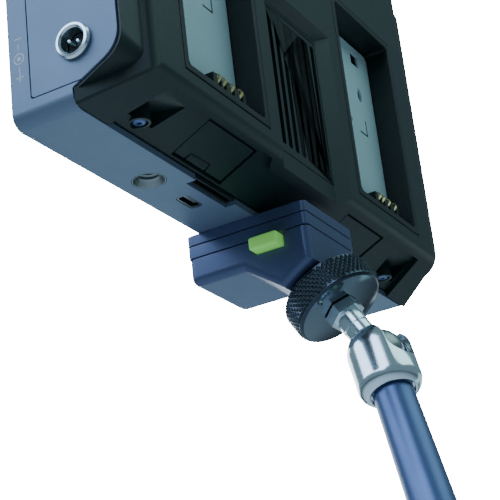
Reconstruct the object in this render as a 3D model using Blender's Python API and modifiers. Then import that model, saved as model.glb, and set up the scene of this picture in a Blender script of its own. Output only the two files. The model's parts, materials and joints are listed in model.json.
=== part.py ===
"""Camera-top receiver monitor on a quick-release mount and a locking ball arm.

Sizes are in millimetres in the receiver's own frame and are scaled to metres as
each piece is made. In that frame X = 0 is the middle of the unit, Y = 0 its screen
face, Z = 0 its underside, +X the side with the power socket and +Y the battery side.
The whole assembly hangs on an empty that puts the world's origin at the arm's end.
"""
from math import asin, cos, pi, radians, sin, tan

import bmesh
import bpy
from mathutils import Matrix, Vector

MM = 0.001

# Receiver housing
HALF_WIDTH = 91.0
HEIGHT = 117.0
BASE_DEPTH = 17.3          # the aluminium chassis at its underside
WING_DEPTH = 30.6          # the chassis sides, which reach further back
WALL = 1.8
CORNER = 3.5
SHELL_DEPTH = 34.8         # rear face of the plastic shell
SEAM_FOOT = 4.6            # height where the chassis side starts to slope back
SEAM_TOP = 11.3
SIDE_TAPER = 0.613         # the shell's sides draw in by this much per mm of depth
UNDER_SLOPE = 0.469        # its underside climbs by this much per mm of depth
GAP = 0.3                  # running and assembly gap between separate pieces

# Underside fittings: threaded inserts, data port, card reader, shell screws, release levers
INSERT_X, INSERT_Y = 45.6, 8.2
INSERT_RADIUS = 4.4
USB_X, USB_Y = 27.5, 9.0
CARD_LOW_X, CARD_HIGH_X = 17.7, 37.7
RECESS_DEPTH = 1.9              # the area under both bays, in from the sloped underside
SCREW_X, SCREW_Y = 68.6, 20.7
SCREW_HEAD = 2.9                # height of the boss that the screw's head sinks into
POCKET_FLOOR = 7.6
LEVER_LOW_W, LEVER_HIGH_W = 41.0, 63.6     # distances in from the shell's sides
LEVER_LOW_Y, LEVER_HIGH_Y = 18.8, 29.7
LEVER_GAP = 0.65
LEVER_FACE = 2.1                # how far the lever's face lies in from the underside
LEVER_PIVOT_X = HALF_WIDTH - (LEVER_LOW_W + LEVER_HIGH_W) / 2

# Side fittings: power socket on +X, controls and video sockets on -X
SOCKET_Y, SOCKET_Z = 18.9, 16.0
CONTROL_Y = 17.5
POWER_BUTTON_Z = 96.0
JOYSTICK_Z = 80.0
JOYSTICK_PIVOT = -87.9
VIDEO_HEIGHTS = (28.0, 50.0)

# Ventilation grille between the bays
VENT_LOW, VENT_HIGH = 12.5, 58.0
VENT_HALF = 15.0
VENT_DEPTH = 32.0
VENT_SLOTS = 8
VENT_PITCH = 3.75

# Battery bays
BAY_CENTRE = 47.5
BAY_LOW, BAY_HIGH = 15.0, 78.6
BAY_HALF = 18.9
BAY_FLOOR = 26.5
TRAY_RIM = 1.9
TRAY_FACE = 35.0
CONTACT_OFFSETS = (20.0, 22.6, 26.6, 31.0)  # in from each bay's +X edge

# Quick-release mount, whose middle is off the receiver's centre line
MOUNT_X = -6.3
MOUNT_HALF = 14.5
MOUNT_FRONT, MOUNT_REAR = -4.2, 33.0
PLATE_LOW = -3.1
COVER_LOW = -6.9
BODY_TOP = -7.2
BODY_FLAT = -14.7
RIDGE = (23.6, -22.6)
REAR_FOOT = -17.0
MOUNT_FILLET = 2.4
DOVETAIL_END = 26.0
BUTTON_FRONT, BUTTON_REAR = 16.5, 25.2
BUTTON_LOW, BUTTON_HIGH = -11.2, -7.6
BUTTON_PROUD = 3.3
SPRING_Y, SPRING_Z = 20.8, -9.4

# Arm: the stud leaves the mount's rear chamfer, the tube leaves the ball
STUD_BASE = Vector((MOUNT_X, 28.3, -19.8))
STUD_AXIS = Vector((0.0, 0.51, -0.8602)).normalized()
BALL_REACH = 27.1
BALL_RADIUS = 6.8
BALL_CENTRE = STUD_BASE + STUD_AXIS * BALL_REACH
ARM_AXIS = Vector((0.18, 0.25, -0.9514)).normalized()
ARM_LENGTH = 58.0
ARM_END = BALL_CENTRE + ARM_AXIS * ARM_LENGTH
WHEEL_START, WHEEL_END = 0.7, 9.1
WHEEL_RADIUS = 13.2
KNURLS = 44
HUB_LENGTH = 6.8
HEX_RADIUS = 5.2
HEX_START, HEX_END = 9.5, 12.5
NECK_RADIUS = 3.8
SEAT_RADIUS = BALL_RADIUS + GAP
CUP_RADIUS = 8.65
CUP_MOUTH_RADIUS = 6.6
CUP_LIP_RADIUS = 6.0
CUP_FOOT = 12.8
CUP_SLOT = 10.0                 # width of the side slot that the neck can drop into
CUP_SLOT_END = 0.2              # centre of its round end, beyond the ball's centre
SLOT_SIDE = Vector((0.28, 0.91, 0.29))
FERRULE = 5.95                  # length of the cap on the arm's end
TUBE_START = 11.6               # where the tube begins, measured from the ball's centre

SIDES = {"left": 1, "right": -1}

PLANES = {
    "X": Matrix(((0, 0, 1), (1, 0, 0), (0, 1, 0))),
    "Y": Matrix(((1, 0, 0), (0, 0, -1), (0, 1, 0))),
    "Z": Matrix.Identity(3),
}


def clear_scene():
    for old in list(bpy.data.objects):
        bpy.data.objects.remove(old, do_unlink=True)


clear_scene()
PARTS = bpy.data.collections.new("receiver_monitor")
CUTTERS = bpy.data.collections.new("cutters")
for collection in (PARTS, CUTTERS):
    bpy.context.scene.collection.children.link(collection)

ROOT = bpy.data.objects.new("assembly_frame", None)
ROOT.location = -ARM_END * MM
PARTS.objects.link(ROOT)


# ---------------------------------------------------------------- materials

def finish(name, colour, roughness, metallic=0.0):
    material = bpy.data.materials.new(name)
    material.use_nodes = True
    shader = material.node_tree.nodes["Principled BSDF"]
    shader.inputs["Base Color"].default_value = (*colour, 1.0)
    shader.inputs["Roughness"].default_value = roughness
    shader.inputs["Metallic"].default_value = metallic
    material.diffuse_color = (*colour, 1.0)
    return material


ALUMINIUM = finish("aluminium", (0.36, 0.42, 0.52), 0.45, 0.9)
SHELL_PLASTIC = finish("shell_plastic", (0.03, 0.04, 0.04), 0.5)
DARK_PLASTIC = finish("dark_plastic", (0.015, 0.018, 0.02), 0.6)
PLATE_PLASTIC = finish("plate_plastic", (0.30, 0.38, 0.40), 0.5)
GOLD = finish("gold", (0.85, 0.68, 0.30), 0.25, 1.0)
CHROME = finish("chrome", (0.80, 0.84, 0.86), 0.12, 1.0)
STEEL = finish("steel", (0.45, 0.46, 0.48), 0.35, 1.0)
MOUNT_METAL = finish("mount_metal", (0.22, 0.26, 0.38), 0.4, 0.8)
DARK_METAL = finish("dark_metal", (0.06, 0.07, 0.09), 0.35, 0.9)
BLACK_ALUMINIUM = finish("black_aluminium", (0.06, 0.07, 0.09), 0.35, 0.9)
GREEN = finish("green_plastic", (0.35, 0.80, 0.22), 0.3)
GLASS = finish("display_glass", (0.02, 0.02, 0.025), 0.05)
BOARD = finish("circuit_board", (0.02, 0.12, 0.05), 0.5)
RUBBER = finish("rubber", (0.02, 0.02, 0.02), 0.8)


# ---------------------------------------------------------------- outlines

def rounded(corners, steps=4):
    """Closed outline through (u, v, radius) corners, each one turned into an arc."""
    outline = []
    for index, (u, v, radius) in enumerate(corners):
        corner = Vector((u, v))
        if not radius:
            outline.append((u, v))
            continue
        following = corners[(index + 1) % len(corners)]
        before = (Vector(corners[index - 1][:2]) - corner).normalized()
        after = (Vector(following[:2]) - corner).normalized()
        half = before.angle(after) / 2
        centre = corner + (before + after).normalized() * (radius / sin(half))
        spoke = corner + before * (radius / tan(half)) - centre
        turn = -1 if before.x * after.y - before.y * after.x > 0 else 1
        for step in range(steps + 1):
            angle = turn * (pi - 2 * half) * step / steps
            outline.append((centre.x + spoke.x * cos(angle) - spoke.y * sin(angle),
                            centre.y + spoke.x * sin(angle) + spoke.y * cos(angle)))
    return outline


def box_outline(low_u, low_v, high_u, high_v, radius=0.0, steps=4):
    return rounded([(low_u, low_v, radius), (high_u, low_v, radius),
                    (high_u, high_v, radius), (low_u, high_v, radius)], steps)


def star_outline(points, outer, inner, start=0.0):
    """Outline whose corners alternate between two radii, such as knurling."""
    outline = []
    for index in range(points * 2):
        radius = outer if index % 2 == 0 else inner
        angle = start + pi * index / points
        outline.append((radius * cos(angle), radius * sin(angle)))
    return outline


def polygon_outline(sides, radius, start=0.0):
    return [(radius * cos(start + 2 * pi * side / sides),
             radius * sin(start + 2 * pi * side / sides)) for side in range(sides)]


def mirrored_in_height(corners):
    """Add the same corners turned upside down about the unit's middle height."""
    return corners + [(y, HEIGHT - z, radius) for y, z, radius in reversed(corners)]


def seam_outline(offset, front):
    """Side view of the chassis wing in (Y, Z), grown outwards by an offset."""
    shift = 0.616 * offset
    lower = [(front, SEAM_FOOT - shift, 0.0),
             (BASE_DEPTH + offset, SEAM_FOOT - shift, 0.0),
             (WING_DEPTH + offset, SEAM_TOP - shift, 7.5)]
    return rounded(mirrored_in_height(lower), 6)


def across(points, side):
    """Turn (distance from the +X side, depth) points into (X, Y) on either side."""
    placed = [(side * (HALF_WIDTH - w), depth) for w, depth in points]
    return placed if side > 0 else placed[::-1]


# ---------------------------------------------------------------- solids

def tidy_mesh(mesh):
    shape = bmesh.new()
    shape.from_mesh(mesh)
    bmesh.ops.remove_doubles(shape, verts=shape.verts, dist=1e-6)
    bmesh.ops.recalc_face_normals(shape, faces=shape.faces)
    shape.to_mesh(mesh)
    shape.free()


def baked(temporary):
    """Mesh of a curve or modified object as the viewport shows it."""
    PARTS.objects.link(temporary)
    graph = bpy.context.evaluated_depsgraph_get()
    mesh = bpy.data.meshes.new_from_object(temporary.evaluated_get(graph))
    bpy.data.objects.remove(temporary, do_unlink=True)
    tidy_mesh(mesh)
    return mesh


def solid(name, mesh, material=None):
    mesh.name = name
    mesh.materials.clear()
    part = bpy.data.objects.new(name, mesh)
    part.parent = ROOT
    if material:
        mesh.materials.append(material)
        PARTS.objects.link(part)
    else:
        CUTTERS.objects.link(part)
        part.display_type = "WIRE"
        part.hide_render = True
    return part


def aim(base, direction):
    """Matrix that puts local Z along a direction, starting at a point."""
    turn = Vector(direction).to_track_quat("Z", "Y").to_matrix().to_4x4()
    return Matrix.Translation(Vector(base) * MM) @ turn


def outline_mesh(name, outline, thickness, holes=()):
    """Flat 2D curve, filled and extruded to stand on its own plane."""
    curve = bpy.data.curves.new(name, "CURVE")
    curve.dimensions = "2D"
    curve.fill_mode = "BOTH"
    curve.extrude = thickness / 2
    for loop in (outline, *holes):
        spline = curve.splines.new("POLY")
        spline.points.add(len(loop) - 1)
        for point, (u, v) in zip(spline.points, loop):
            point.co = (u, v, 0, 1)
        spline.use_cyclic_u = True
    mesh = baked(bpy.data.objects.new(name, curve))
    mesh.transform(Matrix.Scale(MM, 4) @ Matrix.Translation((0, 0, thickness / 2)))
    tidy_mesh(mesh)
    return mesh


def prism(name, outline, low, high, axis="Z", material=None, holes=()):
    """Outline extruded between two planes across X, Y or Z."""
    mesh = outline_mesh(name, outline, high - low, holes)
    start = -high if axis == "Y" else low
    mesh.transform(Matrix.Translation((0, 0, start * MM)))
    mesh.transform(PLANES[axis].to_4x4())
    return solid(name, mesh, material)


def bar(name, outline, base, direction, length, material=None, holes=()):
    """Outline extruded from a point along any direction."""
    mesh = outline_mesh(name, outline, length, holes)
    mesh.transform(aim(base, direction))
    return solid(name, mesh, material)


def block(name, low, high, material=None):
    shape = bmesh.new()
    bmesh.ops.create_cube(shape, size=MM)
    size = [top - bottom for bottom, top in zip(low, high)]
    middle = [(top + bottom) / 2 * MM for bottom, top in zip(low, high)]
    bmesh.ops.scale(shape, vec=size, verts=shape.verts)
    bmesh.ops.translate(shape, vec=middle, verts=shape.verts)
    mesh = bpy.data.meshes.new(name)
    shape.to_mesh(mesh)
    shape.free()
    return solid(name, mesh, material)


def turned(name, profile, base, direction, material=None, steps=32):
    """(radius, height) profile spun about a line through a point."""
    mesh = bpy.data.meshes.new(name)
    closed = profile[0][0] > 0 or profile[-1][0] > 0
    links = [(index, index + 1) for index in range(len(profile) - 1)]
    if closed:
        links.append((len(profile) - 1, 0))
    mesh.from_pydata([(radius * MM, 0, height * MM) for radius, height in profile], links, [])
    holder = bpy.data.objects.new(name, mesh)
    screw = holder.modifiers.new("spin", "SCREW")
    screw.steps = screw.render_steps = steps
    screw.use_merge_vertices = True
    screw.merge_threshold = 1e-6
    spun = baked(holder)
    spun.transform(aim(base, direction))
    return solid(name, spun, material)


def rod(name, base, direction, radius, length, material=None, steps=24):
    profile = [(0, 0), (radius, 0), (radius, length), (0, length)]
    return turned(name, profile, base, direction, material, steps)


def tube(name, base, direction, inner, outer, length, material=None, steps=24):
    profile = [(inner, 0), (outer, 0), (outer, length), (inner, length)]
    return turned(name, profile, base, direction, material, steps)


def combine(part, tool, operation):
    modifier = part.modifiers.new(tool.name, "BOOLEAN")
    modifier.operation = operation
    modifier.solver = "EXACT"
    modifier.object = tool


def cut(part, *tools):
    for tool in tools:
        combine(part, tool, "DIFFERENCE")


def join(part, *tools):
    for tool in tools:
        combine(part, tool, "UNION")


def soften(part, width, segments=2, angle=40.0):
    bevel = part.modifiers.new("edges", "BEVEL")
    bevel.width = width * MM
    bevel.segments = segments
    bevel.limit_method = "ANGLE"
    bevel.angle_limit = radians(angle)


def pivot_at(part, point):
    """Move a piece's origin to its joint without moving the piece."""
    spot = Vector(point) * MM
    part.data.transform(Matrix.Translation(-spot))
    part.location = spot


def bevel_edges(part, width, segments, chosen):
    """Round the edges whose two ends a test accepts."""
    shape = bmesh.new()
    shape.from_mesh(part.data)
    edges = [edge for edge in shape.edges
             if chosen(edge.verts[0].co / MM, edge.verts[1].co / MM)]
    bmesh.ops.bevel(shape, geom=edges, offset=width * MM, segments=segments,
                    profile=0.5, affect="EDGES")
    shape.to_mesh(part.data)
    shape.free()


def underside(depth):
    """Height of the shell's sloped underside at a depth."""
    return UNDER_SLOPE * (depth - BASE_DEPTH)


def slope_tool(name, outline, depth):
    """Cutter that sinks a pocket of one depth into the sloped underside."""
    tool = prism(name, outline, -8.0, 20.0)
    for vertex in tool.data.vertices:
        if vertex.co.z > 0:
            vertex.co.z = (underside(vertex.co.y / MM) + depth) * MM
    return tool


# ---------------------------------------------------------------- receiver

def make_chassis():
    ring = box_outline(-HALF_WIDTH, 0, HALF_WIDTH, HEIGHT, CORNER)
    hollow = box_outline(-HALF_WIDTH + WALL, WALL, HALF_WIDTH - WALL, HEIGHT - WALL,
                         CORNER - WALL)
    chassis = prism("front_chassis", ring, 0, WING_DEPTH, "Y", ALUMINIUM, holes=[hollow])
    web = block("chassis_web", (-90, 7.0, 7.8), (90, 8.5, HEIGHT - WALL / 2))
    join(chassis, web)
    profile = rounded([(-1, -1, 0), (BASE_DEPTH, -1, 0), (BASE_DEPTH, SEAM_FOOT, 0.8),
                       (WING_DEPTH, SEAM_TOP, 7.5), (WING_DEPTH, HEIGHT - SEAM_TOP, 7.5),
                       (BASE_DEPTH, HEIGHT - SEAM_FOOT, 0.8), (BASE_DEPTH, HEIGHT + 1, 0),
                       (-1, HEIGHT + 1, 0)], 6)
    combine(chassis, prism("chassis_side_view", profile, -95, 95, "X"), "INTERSECT")
    for name, side in SIDES.items():
        low, high = sorted((side * 88, side * 92))
        cut(chassis, prism("panel_window_" + name, panel_outline(0.0, 1.5), low, high, "X"))
    for name, x in (("side", INSERT_X), ("mount", MOUNT_X)):
        cut(chassis, rod("insert_hole_" + name, (x, INSERT_Y, -1), (0, 0, 1), INSERT_RADIUS + 0.2, 5))
    cut(chassis, prism("usb_window", usb_outline(0.3), -1, 4),
        block("card_window", (CARD_LOW_X, 14.4, -1), (CARD_HIGH_X, 18, 4)))
    return chassis


def usb_outline(grow):
    return box_outline(USB_X - 4.2 - grow, USB_Y - 1.6 - grow,
                       USB_X + 4.2 + grow, USB_Y + 1.6 + grow, 1.2 + grow)


def panel_outline(inset, rear=0.0):
    """Side panel in (Y, Z): grooved off in front and below, and level with the wing's rear edge."""
    foot = 5.6 + inset
    slope = (SEAM_TOP - SEAM_FOOT) / (WING_DEPTH - BASE_DEPTH)
    start = BASE_DEPTH + (foot - SEAM_FOOT) / slope + rear
    lower = [(5.6 + inset, foot, 0.8), (start, foot, 0.0),
             (WING_DEPTH + rear, foot + slope * (WING_DEPTH + rear - start), 7.5)]
    return rounded(mirrored_in_height(lower), 6)


def make_side_panels():
    for name, side in SIDES.items():
        low, high = sorted((side * (HALF_WIDTH - WALL), side * HALF_WIDTH))
        panel = prism("side_panel_" + ("power" if side > 0 else "controls"),
                      panel_outline(GAP), low, high, "X", ALUMINIUM)
        if side > 0:
            cut(panel, rod("power_hole", (86, SOCKET_Y, SOCKET_Z), (1, 0, 0), 3.9, 8))
            continue
        cut(panel, rod("button_hole", (-94, CONTROL_Y, POWER_BUTTON_Z), (1, 0, 0), 3.4, 8),
            rod("joystick_hole", (-94, CONTROL_Y, JOYSTICK_Z), (1, 0, 0), 4.3, 8))
        for index, height in enumerate(VIDEO_HEIGHTS):
            cut(panel, prism(f"video_hole_{index + 1}", video_outline(height, 0.3), -94, -86, "X"))


def video_outline(height, grow):
    return box_outline(15.2 - grow, height - 7.0 - grow, 19.8 + grow, height + 7.0 + grow, 1.0)


def make_power_socket():
    base = (HALF_WIDTH - 6, SOCKET_Y, SOCKET_Z)
    shell = [(3.1, 0), (3.6, 0), (3.6, 6.3), (4.6, 6.3), (4.7, 6.9), (4.3, 7.5),
             (3.7, 7.6), (3.2, 7.1), (3.1, 6.4)]
    turned("power_socket_shell", shell, base, (1, 0, 0), CHROME, 36)
    insulator = rod("power_socket_insulator", base, (1, 0, 0), 2.9, 4.2, DARK_PLASTIC)
    for index, shift in enumerate((-1.2, 1.2)):
        spot = (base[0] + 2.0, SOCKET_Y + shift, SOCKET_Z - shift * 0.25)
        cut(insulator, rod(f"pin_hole_{index + 1}", spot, (1, 0, 0), 0.65, 4, steps=12))
        profile = [(0, 0.1), (0.5, 0.1), (0.5, 4.3), (0.3, 4.7), (0, 4.8)]
        turned(f"power_socket_pin_{index + 1}", profile, spot, (1, 0, 0), CHROME, 12)


def make_rear_shell():
    start = BASE_DEPTH + 0.4
    shell = block("rear_shell", (-HALF_WIDTH, start, 0), (HALF_WIDTH, SHELL_DEPTH, HEIGHT),
                  SHELL_PLASTIC)
    for vertex in shell.data.vertices:
        depth = vertex.co.y / MM
        width = HALF_WIDTH - SIDE_TAPER * max(0.15, depth - 18)
        vertex.co.x = width * MM * (1 if vertex.co.x > 0 else -1)
        low = underside(depth)
        vertex.co.z = (low if vertex.co.z < 0.05 else HEIGHT - low) * MM
    rear = SHELL_DEPTH - 0.1
    bevel_edges(shell, 2.0, 3, lambda a, b: a.y > rear and b.y > rear)
    bevel_edges(shell, 0.5, 1, lambda a, b: abs(a.x) > 80 and abs(a.y - b.y) > 10)
    skirt = box_outline(-88.9, 2.1, 88.9, HEIGHT - 2.1, CORNER - WALL)
    join(shell, make_shoulder(), prism("shell_skirt", skirt, 13.2, 20.0, "Y"))
    for name, side in SIDES.items():
        low, high = sorted((side * 88.9, side * 93))
        cut(shell, prism("wing_space_" + name, seam_outline(0.35, 10.0), low, high, "X"))
    cut(shell, block("shell_cavity", (-84.5, 8, 9.5), (84.5, 24.3, HEIGHT - 9.5)),
        block("socket_space", (-89, 12, 11.5), (89, 22.9, HEIGHT - 11.5)))
    for name, side in SIDES.items():
        reach = BAY_HALF + TRAY_RIM + GAP
        cut(shell, block("bay_window_" + name,
                         (side * BAY_CENTRE - reach, 20, BAY_LOW - TRAY_RIM - GAP),
                         (side * BAY_CENTRE + reach, 38, BAY_HIGH + TRAY_RIM + GAP)))
    cut_vent(shell)
    cut_underside(shell)
    return shell


def make_shoulder():
    """Dark shoulder behind the chassis wings, lofted in to the tapered sides."""
    front = BASE_DEPTH + 0.45
    outer = seam_outline(0.8, front)
    lower = [(front, 5.8, 0.0), (18.6, 5.8, 0.0), (32.0, 9.8, 4.5)]
    inner = rounded(mirrored_in_height(lower), 6)
    reach = HALF_WIDTH - 0.5
    sections = [(reach, outer), (82.5, inner), (-82.5, inner), (-reach, outer)]
    shape = bmesh.new()
    rings = []
    for x, outline in sections:
        rings.append([shape.verts.new((x * MM, y * MM, z * MM)) for y, z in outline])
    for first, second in zip(rings, rings[1:]):
        for index, corner in enumerate(first):
            following = (index + 1) % len(first)
            shape.faces.new((corner, first[following], second[following], second[index]))
    shape.faces.new(rings[0])
    shape.faces.new(rings[-1])
    bmesh.ops.recalc_face_normals(shape, faces=shape.faces)
    mesh = bpy.data.meshes.new("shell_shoulder")
    shape.to_mesh(mesh)
    shape.free()
    return solid("shell_shoulder", mesh)


def cut_vent(shell):
    """Channel between the bays, with a window that holds the ribbed grille."""
    channel = block("vent_channel", (-21, VENT_DEPTH, -5), (21, 37, 63.5))
    for vertex in channel.data.vertices:
        if vertex.co.y < 0.034:
            vertex.co.x *= 15.6 / 21
            vertex.co.z = min(vertex.co.z, 59.5 * MM)
        else:
            vertex.co.x *= 24.1 / 21
            vertex.co.z = min(vertex.co.z, 66.0 * MM)
    cut(shell, channel, block("vent_window", (-VENT_HALF - GAP, 20, VENT_LOW - GAP),
                              (VENT_HALF + GAP, 36, VENT_HIGH + GAP)))


def lever_outline(side, grow):
    return across(box_outline(LEVER_LOW_W - grow, LEVER_LOW_Y - grow,
                              LEVER_HIGH_W + grow, LEVER_HIGH_Y + grow), side)


def cut_underside(shell):
    """Shallow recess under both bays, with a screw pocket in each outer corner."""
    half = [(13.0, 16.0), (18.9, 32.0), (68.5, 32.2), (72.0, 29.3)]
    recess = [(HALF_WIDTH - w, y) for w, y in half]
    recess += [(-x, y) for x, y in reversed(recess)]
    cut(shell, slope_tool("under_recess", recess, RECESS_DEPTH))
    pocket = [(16.6, 20.8), (18.8, 31.2), (20.2, 31.6), (30.4, 29.0), (27.6, 20.8)]
    for name, side in SIDES.items():
        spot = (side * SCREW_X, SCREW_Y, 0)
        cut(shell, prism("screw_pocket_" + name, across(pocket, side), -8, POCKET_FLOOR))
        join(shell, rod("screw_boss_" + name, (spot[0], SCREW_Y, SCREW_HEAD), (0, 0, 1), 2.9,
                        POCKET_FLOOR + 1 - SCREW_HEAD, steps=20))
        cut(shell, slope_tool("lever_well_" + name, lever_outline(side, LEVER_GAP), 5.6),
            rod("screw_hole_" + name, spot, (0, 0, 1), 1.3, 10, steps=16),
            rod("screw_seat_" + name, spot, (0, 0, 1), 2.2, SCREW_HEAD + 1.4, steps=20))
    cut(shell, block("card_clearance", (CARD_LOW_X - 0.1, 12, -1), (CARD_HIGH_X + 0.1, 17.6, 11)))


def make_shell_screws():
    for name, side in SIDES.items():
        profile = [(0, 0.7), (0.7, 0.7), (0.7, 0), (1.5, 0.1), (1.9, 0.5), (1.9, 1.2), (1.0, 1.2),
                   (1.0, 6.0), (0, 6.0)]
        turned("shell_screw_" + name, profile, (side * SCREW_X, SCREW_Y, SCREW_HEAD), (0, 0, 1),
               DARK_METAL, 18)


def make_vent_grille():
    slots = []
    for index in range(VENT_SLOTS):
        x = 14.2 - VENT_PITCH * index
        slots.append(rounded([(x - 2.2, 14.9, 0.5), (x, 14.9, 0.5),
                              (x, 56.6, 0.5), (x - 2.2, 56.6, 0.5)], 2))
    outline = box_outline(-VENT_HALF, VENT_LOW, VENT_HALF, VENT_HIGH)
    prism("vent_grille", outline, VENT_DEPTH - 2.0, VENT_DEPTH, "Y", SHELL_PLASTIC, holes=slots)


def make_bay(name, side):
    centre = side * BAY_CENTRE
    reach = BAY_HALF + TRAY_RIM
    rim = box_outline(centre - reach, BAY_LOW - TRAY_RIM, centre + reach, BAY_HIGH + TRAY_RIM)
    tray = prism("battery_tray_" + name, rim, BAY_FLOOR - 1.7, TRAY_FACE, "Y", DARK_PLASTIC)
    well = box_outline(centre - BAY_HALF, BAY_LOW, centre + BAY_HALF, BAY_HIGH, 1.2, 2)
    cut(tray, prism("bay_well_" + name, well, BAY_FLOOR, 40, "Y"))
    outline = box_outline(centre - 18.5, 22.2, centre + 18.5, 77.6, 2.0, 3)
    hole_x = centre - 8.5
    square = box_outline(hole_x - 2.6, 70.6, hole_x + 2.6, 75.0)
    slot = [(hole_x - 0.2 + 1.4 * u, 60.0 + 2.6 * v) for u, v in polygon_outline(10, 1.0)]
    for index, outline_through in enumerate((square, slot)):
        cut(tray, prism(f"tray_hole_{name}_{index + 1}", outline_through, 20, 40, "Y"))
    prism("battery_plate_" + name, outline, BAY_FLOOR + 0.05, BAY_FLOOR + 0.9, "Y",
          PLATE_PLASTIC, holes=[square, slot])
    make_contacts(name, centre + BAY_HALF)


def make_contacts(name, edge):
    """Terminal block at the foot of a bay, measured from the bay's +X edge."""
    housing = block("contact_block_" + name, (edge - 33.5, BAY_FLOOR + 0.05, BAY_LOW + 0.3),
                    (edge - 17.0, 32.0, 21.4), DARK_PLASTIC)
    for index, offset in enumerate(CONTACT_OFFSETS):
        x = edge - offset
        cut(housing, block(f"contact_slot_{name}_{index + 1}", (x - 0.95, 30.4, 16.5),
                           (x + 0.95, 33, 24)))
        blade = block(f"contact_{name}_{index + 1}", (x - 0.6, 30.7, 16.8), (x + 0.6, 32.3, 21.9),
                      GOLD)
        soften(blade, 0.3, 1)


def make_release_lever(name, side):
    lever = slope_tool("battery_release_" + name, lever_outline(side, 0.0), LEVER_FACE + 1.8)
    CUTTERS.objects.unlink(lever)
    PARTS.objects.link(lever)
    lever.display_type = "TEXTURED"
    lever.hide_render = False
    lever.data.materials.append(SHELL_PLASTIC)
    for vertex in lever.data.vertices:
        depth = vertex.co.y / MM
        if vertex.co.z < underside(depth) * MM:
            vertex.co.z = (underside(depth) + LEVER_FACE) * MM
    thumb = [(45.4, 15.0), (46.0, 21.0), (55.2, 21.2), (57.0, 15.0), (56.4, 15.0), (54.8, 20.7),
             (46.5, 20.5), (46.0, 15.0)]
    cut(lever, slope_tool("thumb_groove_" + name, across(thumb, side), LEVER_FACE + 0.6))
    pivot_at(lever, (side * LEVER_PIVOT_X, LEVER_LOW_Y, underside(LEVER_LOW_Y) + LEVER_FACE + 0.9))


def make_display():
    outer = box_outline(-88.9, 2.1, 88.9, HEIGHT - 2.1, 1.2)
    view = box_outline(-79.0, 13.5, 79.0, 103.5, 1.0)
    prism("screen_bezel", outer, 0.3, 3.0, "Y", DARK_PLASTIC, holes=[view])
    glass = box_outline(-78.7, 13.8, 78.7, 103.2, 0.8)
    prism("display_glass", glass, 0.8, 2.0, "Y", GLASS)
    block("lcd_panel", (-81, 3.3, 11.5), (81, 6.6, 105.5), DARK_PLASTIC)


def make_electronics():
    block("main_board", (-74, 10.6, 20), (74, 12.2, 98), BOARD)
    module = block("receiver_module", (-30, 12.5, 66), (30, 17.5, 94), STEEL)
    soften(module, 0.8, 1)
    sink = block("heat_sink", (-12.9, 14.0, 16), (12.9, 29.0, 55), BLACK_ALUMINIUM)
    for index in range(5):
        x = -10.0 + 5.0 * index
        cut(sink, block(f"fin_gap_{index + 1}", (x - 1.5, 17, 10), (x + 1.5, 35, 60)))
    for name, side in SIDES.items():
        low, high = sorted((side * 40, side * 70))
        block("antenna_" + name, (low, 13.0, 84), (high, 14.0, 96), BOARD)


def make_sockets():
    for name, x in (("side", INSERT_X), ("mount", MOUNT_X)):
        profile = [(3.25, 6.5), (3.25, 1.4), (INSERT_RADIUS - 0.2, 0.0), (INSERT_RADIUS, 0.0),
                   (INSERT_RADIUS, 6.5)]
        turned("tripod_insert_" + name, profile, (x, INSERT_Y, 0), (0, 0, 1), STEEL, 32)
    port = prism("usb_port", usb_outline(0.0), 0.1, 7.0, "Z", STEEL)
    cut(port, prism("usb_mouth", usb_outline(-0.35), -1, 5.5))
    join(port, block("usb_tongue", (USB_X - 3.0, USB_Y - 0.35, 0.9), (USB_X + 3.0, USB_Y + 0.35, 6)))
    reader = block("card_slot", (CARD_LOW_X + GAP, 14.7, 0.9), (CARD_HIGH_X - GAP, 17.2, 10),
                   DARK_PLASTIC)
    cut(reader, block("card_mouth", (CARD_LOW_X + 1, 15.2, 0), (CARD_HIGH_X - 1, 16.7, 9)))


def make_controls():
    power = rod("power_button", (-92.0, CONTROL_Y, POWER_BUTTON_Z), (1, 0, 0), 3.1, 4.5, DARK_METAL)
    soften(power, 0.4, 2)
    pivot_at(power, (-HALF_WIDTH, CONTROL_Y, POWER_BUTTON_Z))
    stick = turned("menu_joystick", [(0, 0), (2.2, 0.3), (2.6, 1.2), (1.4, 1.8), (1.4, 4.6),
                                     (2.6, 4.8), (2.6, 6.0), (0, 6.0)],
                   (-93.3, CONTROL_Y, JOYSTICK_Z), (1, 0, 0), DARK_METAL, 20)
    pivot_at(stick, (JOYSTICK_PIVOT, CONTROL_Y, JOYSTICK_Z))
    for index, height in enumerate(VIDEO_HEIGHTS):
        name = f"video_socket_{index + 1}"
        socket = prism(name, video_outline(height, 0.0), -90.8, -82.0, "X", STEEL)
        cut(socket, prism(name + "_mouth", video_outline(height, -0.5), -95, -84, "X"))


# ---------------------------------------------------------------- mount

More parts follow.
